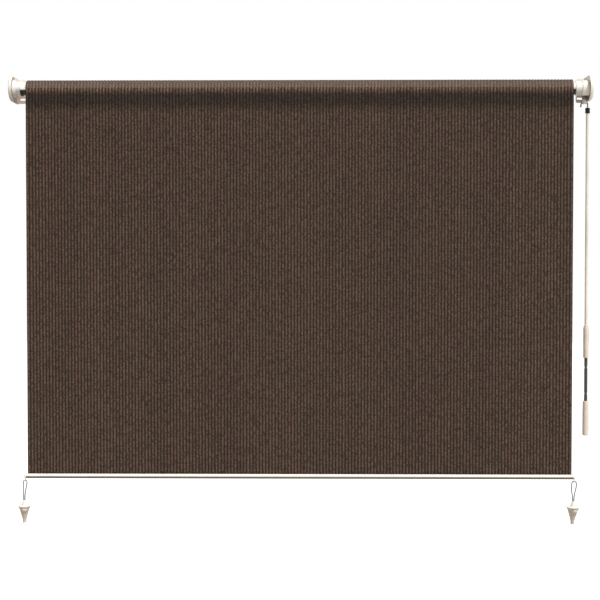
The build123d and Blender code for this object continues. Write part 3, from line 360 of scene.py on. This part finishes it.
def bracket_coat(name, plate, flange, finish, pale_from, pale_rim):
    """Bracket coating: its plate, its rim and its flange differ, with random grime spots, and all are
    paler at the top; the darker colours below are painted shade.
    """
    graph = Graph(name, plate, 0.45)
    x, y, z = graph.axes()
    cloud = graph.noise(graph.place, 60.0, 3.0)
    on_flange = graph.spread(graph.sum("ABSOLUTE", x), PLATE_X - 0.001, PLATE_X - 0.004)
    base = graph.mix(on_flange, plate, flange)
    spots = graph.mix(graph.spread(cloud, 0.42, 0.62, 0.0, 0.25), base, finish.grime_and_shade)
    back = graph.sum("ADD", y, -AXIS_Y)
    squares = graph.sum("MULTIPLY_ADD", back, back, graph.sum("MULTIPLY", z, z))
    radius = graph.sum("SQRT", squares)
    rim = graph.spread(radius, PLATE_RADIUS - 0.001, PLATE_RADIUS - 0.0004, 0.0, pale_rim)
    upper = graph.spread(z, -0.02, 0.0)
    crown = graph.spread(z, pale_from, pale_from + 0.012)
    top = graph.sum("MAXIMUM", graph.sum("MULTIPLY", rim, upper), crown)
    share = graph.mix(on_flange, top, upper)
    graph.paint(graph.mix(share, spots, finish.coat))
    graph.rough(graph.spread(cloud, 0.3, 0.7, 0.4, 0.55))
    graph.bump(graph.noise(graph.place, 520.0, 1.0), 0.0002, 0.45)
    return graph.material


def metal(name, base, roughness=0.35, grain=(1.0, 1.0, 1.0)):
    """Metal with a drawn or ground grain along one axis."""
    graph = Graph(name, base, roughness, 1.0)
    lines = graph.noise(graph.stretched(grain), 900.0, 2.0)
    cloud = graph.noise(graph.place, 40.0, 2.0)
    shade = tuple(value * 0.78 for value in base)
    graph.paint(graph.mix(graph.spread(cloud, 0.35, 0.65), base, shade))
    graph.rough(graph.spread(lines, 0.3, 0.7, roughness - 0.08, roughness + 0.14))
    graph.bump(lines, 0.0001, 0.4)
    return graph.material


def ribbed_coat(name, base, shade, lines_grain, mottling_grain):
    """Coated rod with mottled patches and faint draw lines along its length."""
    graph = Graph(name, base, 0.4)
    lines = graph.noise(graph.stretched((lines_grain, lines_grain, 1.0)), 60.0, 2.0)
    cloud = graph.noise(graph.place, mottling_grain, 3.0)
    graph.paint(graph.mix(graph.spread(cloud, 0.4, 0.75), base, shade))
    graph.rough(graph.spread(lines, 0.3, 0.7, 0.33, 0.5))
    graph.bump(lines, 0.0001, 0.5)
    return graph.material


def cord_cover(name, base):
    """Braided cover of an elastic cord."""
    graph = Graph(name, base, 0.7)
    x, y, z = graph.axes()
    around = graph.sum("ARCTAN2", graph.sum("ADD", y, -SHEET_Y), x)
    climb = graph.sum("MULTIPLY", z, BRAID)
    left = graph.sum("SINE", graph.sum("MULTIPLY_ADD", x, BRAID, climb))
    right = graph.sum("SINE", graph.sum("MULTIPLY_ADD", x, -BRAID, climb))
    weave = graph.sum("MULTIPLY", left, right)
    speck = graph.sum("MULTIPLY_ADD", graph.noise(graph.place, 900.0), 0.6, around)
    shade = tuple(value * 0.55 for value in base)
    graph.paint(graph.mix(graph.spread(weave, -1.0, 1.0), shade, base))
    graph.rough(graph.spread(speck, -3.0, 3.0, 0.62, 0.78))
    graph.bump(weave, 0.0003, 0.8)
    return graph.material


def knit_height(graph, cloth, along):
    """Height of the knit, 0 in the valleys and 1 on the crests, from x and the way along a rib."""
    x = graph.axes()[0]
    wander = graph.sum("SUBTRACT", graph.noise(graph.stretched(WANDER_GRAIN), 1.0, 2.0), 0.5)
    count = graph.sum("DIVIDE", graph.sum("SUBTRACT", x, FABRIC_LEFT), cloth.rib_pitch)
    turn = graph.sum("MULTIPLY", graph.sum("MULTIPLY_ADD", wander, 0.22, count), 2 * math.pi)
    crest = graph.sum("MULTIPLY_ADD", graph.sum("COSINE", turn), -0.5, 0.5)
    step = graph.sum("MULTIPLY", along, 2 * math.pi / cloth.stitch)
    row = graph.sum("SINE", graph.sum("MULTIPLY_ADD", graph.sum("COSINE", turn), 1.3, step))
    return crest, graph.sum("MULTIPLY_ADD", row, 0.5, 0.5)


def cloth_material(name, cloth, along, shade, greying=0.0):
    """Knitted fabric: light crests, dark valleys, stitches, two yarns and uneven dye."""
    graph = Graph(name, cloth.light, 0.82, specular=0.25)
    crest, row = knit_height(graph, cloth, along(graph))
    fleck = graph.noise(graph.stretched(FLECK_GRAIN), 1.0, 3.0)
    hue = graph.noise(graph.stretched(HUE_GRAIN), 1.0, 2.0)
    band = graph.noise(graph.stretched(DYE_GRAIN), 1.0, 1.0)
    yarn = graph.mix(graph.spread(hue, 0.36, 0.64), cloth.olive, cloth.warm)
    light = graph.mix(0.4, cloth.light, yarn)
    share = graph.sum("MULTIPLY", crest, graph.spread(fleck, 0.32, 0.68, 0.15, 1.3))
    share = graph.sum("MULTIPLY", share, graph.sum("MULTIPLY_ADD", row, 0.4, 0.7))
    knit = graph.mix(share, cloth.dark, light)
    # Knit mixed towards a flat grey-brown by the given share
    knit = graph.mix(greying, knit, cloth.grey_yarn)
    level = graph.sum("MULTIPLY", graph.spread(band, 0.35, 0.65, 0.95, 1.05), shade(graph))
    node = graph.add("ShaderNodeVectorMath", {0: knit}, operation="SCALE")
    graph.put(node.inputs["Scale"], level)
    graph.paint(node.outputs[0])
    relief = graph.sum("MULTIPLY_ADD", row, 0.35, crest)
    graph.bump(relief, 0.0009, 0.8)
    return graph.material


def down_sheet(graph):
    """Way along a rib of the sheet."""
    return graph.axes()[2]


def round_roll(graph):
    """Way along a rib of the roll."""
    _, y, z = graph.axes()
    angle = graph.sum("ARCTAN2", z, graph.sum("ADD", y, -AXIS_Y))
    return graph.sum("MULTIPLY", angle, ROLL_RADIUS)


def sheet_shade(graph):
    """Painted highlight at the sheet's top, painted shadow band under the roll and dashed hem stitching
    at the rail: 1 is the plain sheet.
    """
    x, _, z = graph.axes()
    low = graph.spread(z, *SHEET_SHADOW, 1.0, 0.45, True)
    high = graph.spread(z, *SHEET_TOP_HIGHLIGHT, 0.0, 1.5, True)
    dash = graph.sum("SINE", graph.sum("MULTIPLY", x, 2 * math.pi / HEM_STITCH))
    hem = graph.spread(z, *SHEET_HEM, 0.0, 0.36)
    hem = graph.sum("MULTIPLY", hem, graph.spread(dash, -0.4, 0.4, 0.4, 1.0))
    return graph.sum("SUBTRACT", graph.sum("ADD", low, high), hem)


def roll_shade(graph):
    """Painted light on the front of the roll, brightest at its front tangent and less towards its top,
    with a painted dark line of shade along its top.
    """
    z = graph.axes()[2]
    pale = graph.spread(z, *ROLL_FRONT_LIGHT, 1.9, 1.36)
    return graph.sum("MULTIPLY", pale, graph.spread(z, *ROLL_TOP, 1.0, 0.25, True))


# Mesh helpers


def new_object(name, bm, material, smooth=True):
    """Object with the mesh and a material, at the origin."""
    mesh = bpy.data.meshes.new(name)
    bm.to_mesh(mesh)
    bm.free()
    mesh.materials.append(material)
    for face in mesh.polygons:
        face.use_smooth = smooth
    piece = bpy.data.objects.new(name, mesh)
    bpy.context.scene.collection.objects.link(piece)
    return piece


def grid(columns, rows, place):
    """Grid whose points are placed by a function of two shares from 0 to 1."""
    bm = bmesh.new()
    bmesh.ops.create_grid(bm, x_segments=columns, y_segments=rows, size=0.5)
    for vert in bm.verts:
        vert.co = place(vert.co.x + 0.5, vert.co.y + 0.5)
    return bm


def joined(first, second):
    """Both meshes in the first one."""
    spare = bpy.data.meshes.new("spare")
    second.to_mesh(spare)
    second.free()
    first.from_mesh(spare)
    bpy.data.meshes.remove(spare)
    return first


def rib_crest(x, cloth):
    """Rib height at x, from 0 in a valley to 1 on a crest."""
    turn = 2 * math.pi * (x - FABRIC_LEFT) / cloth.rib_pitch
    return 0.5 - 0.5 * math.cos(turn)


def dress(nodes, material):
    """Gives CAD nodes a material in every slot."""
    for name in nodes:
        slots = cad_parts[name].material_slots
        for slot in slots:
            slot.material = material


# Cloth


def sheet_point(across, up, cloth):
    """Point of the hanging sheet from shares across and up it."""
    x = FABRIC_LEFT + across * (FABRIC_RIGHT - FABRIC_LEFT)
    z = -DROP + up * DROP
    hang = math.sin(math.pi * up)
    sway = noise.noise(Vector((x * 2.1, z * 0.8, 0.3))) * cloth.sway * hang
    tuck = TUCK_DEPTH * max(0.0, 1 + z / TUCK_HEIGHT)
    crest = cloth.rib_height * (0.5 - rib_crest(x, cloth))
    return Vector((x, SHEET_Y + sway + tuck + crest, z))


def sheet_piece(cloth):
    """The hanging sheet, from the roll's front to the rail."""
    ribs = round((FABRIC_RIGHT - FABRIC_LEFT) / cloth.rib_pitch)
    bm = grid(
        ribs * cloth.rib_columns, cloth.sheet_rows, lambda u, v: sheet_point(u, v, cloth)
    )
    material = cloth_material("Sheet knit", cloth, down_sheet, sheet_shade)
    piece = new_object("sheet_cloth", bm, material)
    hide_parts("fabric_sheet")
    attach(piece, "wall_frame")
    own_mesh(piece)


def roll_point(x, turn, cloth, ribbed):
    """Point of the spiral roll, from its front over the top and inwards."""
    radius = ROLL_RADIUS + KNIT_STAND - LAYER_PITCH * turn
    if ribbed:
        radius += cloth.roll_rib * (rib_crest(x, cloth) - 0.4)
    angle = math.pi - 2 * math.pi * turn
    return Vector((x, AXIS_Y + radius * math.cos(angle), radius * math.sin(angle)))


def roll_piece(cloth):
    """The rolled fabric: a ribbed outer turn and plain turns under it."""
    width = FABRIC_RIGHT - FABRIC_LEFT
    ribs = round(width / cloth.rib_pitch)
    bm = grid(
        ribs * cloth.rib_columns,
        cloth.roll_steps,
        lambda u, v: roll_point(FABRIC_LEFT + u * width, v, cloth, True),
    )
    under = ROLL_TURNS - 1
    inner = grid(
        24,
        under * cloth.roll_steps,
        lambda u, v: roll_point(FABRIC_LEFT + u * width, 1 + v * under, cloth, False),
    )
    material = cloth_material("Roll knit", cloth, round_roll, roll_shade, cloth.roll_greying)
    piece = new_object("roll_cloth", joined(bm, inner), material)
    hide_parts("fabric_roll")
    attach(piece, "roller")


# Cords


def cord_piece(name, lug_x, route, body, node, finish):
    """A hold-down cord on one NURBS line through its lug."""
    curve = bpy.data.curves.new(name, "CURVE")
    curve.dimensions = "3D"
    curve.bevel_depth = CORD_DIAMETER / 2
    curve.bevel_resolution = 5
    curve.resolution_u = 10
    curve.use_fill_caps = True
    spline = curve.splines.new("NURBS")
    spline.points.add(len(route) - 1)
    for spot, (x, z) in zip(spline.points, route):
        spot.co = (lug_x + x, SHEET_Y, z, 1.0)
    spline.order_u = 3
    spline.use_endpoint_u = True
    curve.materials.append(cord_cover(name + " cover", finish.cord))
    piece = bpy.data.objects.new(name, curve)
    bpy.context.scene.collection.objects.link(piece)
    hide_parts(node)
    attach(piece, body)


# Operators


def settings():
    """The add-on's settings in this scene."""
    return bpy.context.scene.roller_shade


class SHADE_OT_stage(bpy.types.Operator):
    """Camera, lamps, sky and floor"""

    bl_idname = "roller_shade.stage"
    bl_label = "Stage"

    def execute(self, context):
        stage = settings().stage
        place_camera(stage)
        light_sky(stage)
        light_key(stage)
        lay_floor(stage)
        return {"FINISHED"}


def place_camera(stage):
    """Camera at the photograph's angle."""
    camera = bpy.data.cameras.new("camera")
    camera.sensor_width = SENSOR_WIDTH
    camera.lens = SENSOR_WIDTH * stage.focal
    camera.clip_end = 100.0
    holder = bpy.data.objects.new("camera", camera)
    holder.location = stage.camera_at
    holder.rotation_euler = Euler((math.pi / 2 - stage.pitch, 0.0, stage.yaw))
    bpy.context.scene.collection.objects.link(holder)
    bpy.context.scene.camera = holder
    bpy.context.scene.view_settings.view_transform = "Standard"


def light_sky(stage):
    """Even sky that looks white to the camera and through clear pieces."""
    world = bpy.data.worlds.new("sky")
    world.use_nodes = True
    nodes = world.node_tree.nodes
    links = world.node_tree.links
    path = nodes.new("ShaderNodeLightPath")
    seen = nodes.new("ShaderNodeMath")
    seen.operation = "MAXIMUM"
    links.new(path.outputs["Is Camera Ray"], seen.inputs[0])
    links.new(path.outputs["Is Transmission Ray"], seen.inputs[1])
    strength = nodes.new("ShaderNodeMapRange")
    strength.inputs[3].default_value = stage.sky
    strength.inputs[4].default_value = 1.0
    links.new(seen.outputs[0], strength.inputs[0])
    background = nodes["Background"]
    background.inputs["Color"].default_value = (1.0, 1.0, 1.0, 1.0)
    links.new(strength.outputs[0], background.inputs["Strength"])
    bpy.context.scene.world = world


def light_key(stage):
    """Soft sun from above, in front and to the right."""
    lamp = bpy.data.lights.new("key", "SUN")
    lamp.energy = stage.key
    lamp.angle = stage.key_size
    holder = bpy.data.objects.new("key", lamp)
    holder.rotation_euler = Euler((stage.key_tilt, 0.0, stage.key_turn))
    holder.location = (0.0, -2.0, 3.0)
    bpy.context.scene.collection.objects.link(holder)


def lay_floor(stage):
    """Pale floor under the hanging shade."""
    bm = bmesh.new()
    bmesh.ops.create_grid(bm, x_segments=1, y_segments=1, size=stage.floor_reach)
    bmesh.ops.translate(bm, verts=bm.verts, vec=(0.0, 0.0, stage.floor_z))
    graph = Graph("Floor", stage.floor_seen, 0.9, specular=0.0)
    seen = graph.add("ShaderNodeLightPath", {}).outputs["Is Camera Ray"]
    graph.paint(graph.mix(seen, stage.floor_bounce, stage.floor_seen))
    graph.shader.inputs["Emission Color"].default_value = (1.0, 1.0, 1.0, 1.0)
    glow = graph.sum("MULTIPLY", seen, stage.floor_glow)
    graph.put(graph.shader.inputs["Emission Strength"], glow)
    floor = new_object("floor", bm, graph.material, smooth=False)


class SHADE_OT_cords(bpy.types.Operator):
    """Hold-down cords"""

    bl_idname = "roller_shade.cords"
    bl_label = "Cords"

    def execute(self, context):
        finish = settings().finish
        cord_piece(
            "left_cord_loop",
            LEFT_LUG_X,
            LEFT_LOOP,
            "left_hold_down",
            "left_cord",
            finish,
        )
        cord_piece(
            "right_cord_loop",
            RIGHT_LUG_X,
            RIGHT_LOOP,
            "right_hold_down",
            "right_cord",
            finish,
        )
        return {"FINISHED"}


class SHADE_OT_sheet(bpy.types.Operator):
    """Hanging sheet"""

    bl_idname = "roller_shade.sheet"
    bl_label = "Sheet"

    def execute(self, context):
        sheet_piece(settings().cloth)
        return {"FINISHED"}


class SHADE_OT_roll(bpy.types.Operator):
    """Rolled fabric"""

    bl_idname = "roller_shade.roll"
    bl_label = "Roll"

    def execute(self, context):
        roll_piece(settings().cloth)
        return {"FINISHED"}


class SHADE_OT_finishes(bpy.types.Operator):
    """Finishes of the rigid pieces"""

    bl_idname = "roller_shade.finishes"
    bl_label = "Finishes"

    def execute(self, context):
        finish = settings().finish
        ivory = moulded("Ivory moulding", finish.ivory)
        coat = coated("Ivory coating", finish.coat)
        zinc = metal("Zinc", finish.zinc)
        # Both brackets painted in darker colours below as shade, with the pale coating on their lit
        # tops
        left = bracket_coat(
            "Left bracket", finish.tan, finish.tan, finish, pale_from=0.075, pale_rim=1.0
        )
        dress(["left_bracket"], left)
        right = bracket_coat(
            "Right bracket", finish.bracket, finish.flange, finish, pale_from=0.022, pale_rim=0.0
        )
        dress(["right_bracket"], right)
        # Left cover painted darker towards its bottom as shade
        cover = graded(moulded("Left cover", finish.ivory), COVER_SHADE, finish.grime_and_shade, 0.55)
        dress(["left_end_cover"], cover)
        dress(["right_end_cover", "left_rail_cap", "right_rail_cap"], ivory)
        dress(["idler_socket"], graded(moulded("Socket", finish.ivory), SOCKET_SHADE, finish.grey, 0.9))
        dress(["idler_barrel"], graded(moulded("Barrel", finish.ivory), BARREL_SHADE, finish.grey, 0.8))
        # Painted shadow line under the gear housing, with the housing's foot below it painted in the
        # right plate's shade colour
        housing_shadow = graded(coat, HOUSING_SHADOW_LINE, finish.grime_and_shade, 0.9)
        dress(["gear_housing", "gear_cover"], graded(housing_shadow, HOUSING_FOOT, finish.bracket))
        dress(["drive_collar"], graded(moulded("Collar", finish.ivory), COLLAR_SHADE, finish.grey, 0.8))
        dress(["crank_eye"], coated("Eye coating", finish.coat))
        plug = moulded("Plug", finish.ivory, 0.45, 0.2)
        dress(["left_end_plug", "right_end_plug"], graded(plug, PLUG_SHADE, finish.black))
        # Anchors painted ivory above the lip as lit top faces, keeping the darker anchor colour below
        anchor = graded(moulded("Anchor", finish.anchor, 0.5, 0.2), ANCHOR_LIP, finish.ivory)
        dress(["left_anchor", "right_anchor"], anchor)
        dress(["left_cord_ferrule", "right_cord_ferrule"], ivory)
        # Rail painted dark along its underside as shade
        rail = coated("Rail coating", finish.coat, 0.4)
        dress(["bottom_rail"], graded(rail, RAIL_UNDERSIDE_SHADE, finish.grime_and_shade, 0.9))
        dress(["idler_socket_screws", "gear_housing_screws", "collar_set_screws"], zinc)
        dress(["oil_plug", "idler_pin", "idler_clip", "eye_pin"], zinc)
        dress(["upper_knuckle_pin", "lower_knuckle_pin"], zinc)
        dress(["roller_tube"], metal("Tube", finish.zinc, 0.4, (0.02, 1.0, 1.0)))
        dress(["drive_shaft", "worm_shaft"], metal("Shaft", finish.zinc, 0.3))
        dress(["worm_wheel", "upper_worm_bush", "lower_worm_bush"], metal("Bronze", finish.bronze))
        dress(["idler_bush", "hem_spline"], moulded("Nylon", finish.ivory, 0.5))
        return {"FINISHED"}


class SHADE_OT_wand(bpy.types.Operator):
    """Finishes of the crank wand"""

    bl_idname = "roller_shade.wand"
    bl_label = "Wand"

    def execute(self, context):
        finish = settings().finish
        grip = moulded("Grip", finish.grip, 0.45)
        shade = tuple(value * 0.8 for value in finish.rod)
        dress(["wand_rod"], ribbed_coat("Rod coating", finish.rod, shade, 12.0, 8.0))
        dress(["upper_grip", "lower_grip", "grip_stop"], grip)
        dress(["hook"], coated("Hook steel", finish.hook, 0.4, 0.2))
        dress(["hook_ferrule"], moulded("Black moulding", finish.black, 0.35))
        dark = coated("Crank steel", finish.dark_steel, 0.4, 0.25, 0.3)
        dress(["crank_arm", "upper_fork", "lower_fork"], dark)
        return {"FINISHED"}


class SHADE_PT_panel(bpy.types.Panel):
    """Sidebar panel with the settings and one button for each group"""

    bl_label = "Roller shade"
    bl_idname = "SHADE_PT_panel"
    bl_space_type = "VIEW_3D"
    bl_region_type = "UI"
    bl_category = "Shade"

    def draw(self, context):
        for step in STEPS:
            self.layout.operator(step.bl_idname)
        shade = context.scene.roller_shade
        for group in (shade.cloth, shade.finish, shade.stage):
            box = self.layout.box()
            for name in group.bl_rna.properties.keys():
                if name not in ("rna_type", "name"):
                    box.prop(group, name)


STEPS = (
    SHADE_OT_stage,
    SHADE_OT_cords,
    SHADE_OT_sheet,
    SHADE_OT_roll,
    SHADE_OT_finishes,
    SHADE_OT_wand,
)
GROUPS = (ClothSettings, FinishSettings, StageSettings, ShadeSettings)


def register():
    """Adds the add-on's classes and settings."""
    for kind in (*GROUPS, *STEPS, SHADE_PT_panel):
        bpy.utils.register_class(kind)
    bpy.types.Scene.roller_shade = PointerProperty(type=ShadeSettings)


def unregister():
    """Removes them again."""
    del bpy.types.Scene.roller_shade
    for kind in reversed((*GROUPS, *STEPS, SHADE_PT_panel)):
        bpy.utils.unregister_class(kind)


def main():
    """Runs each step."""
    register()
    for step in STEPS:
        group, name = step.bl_idname.split(".")
        getattr(getattr(bpy.ops, group), name)()


if __name__ == "__main__":
    main()
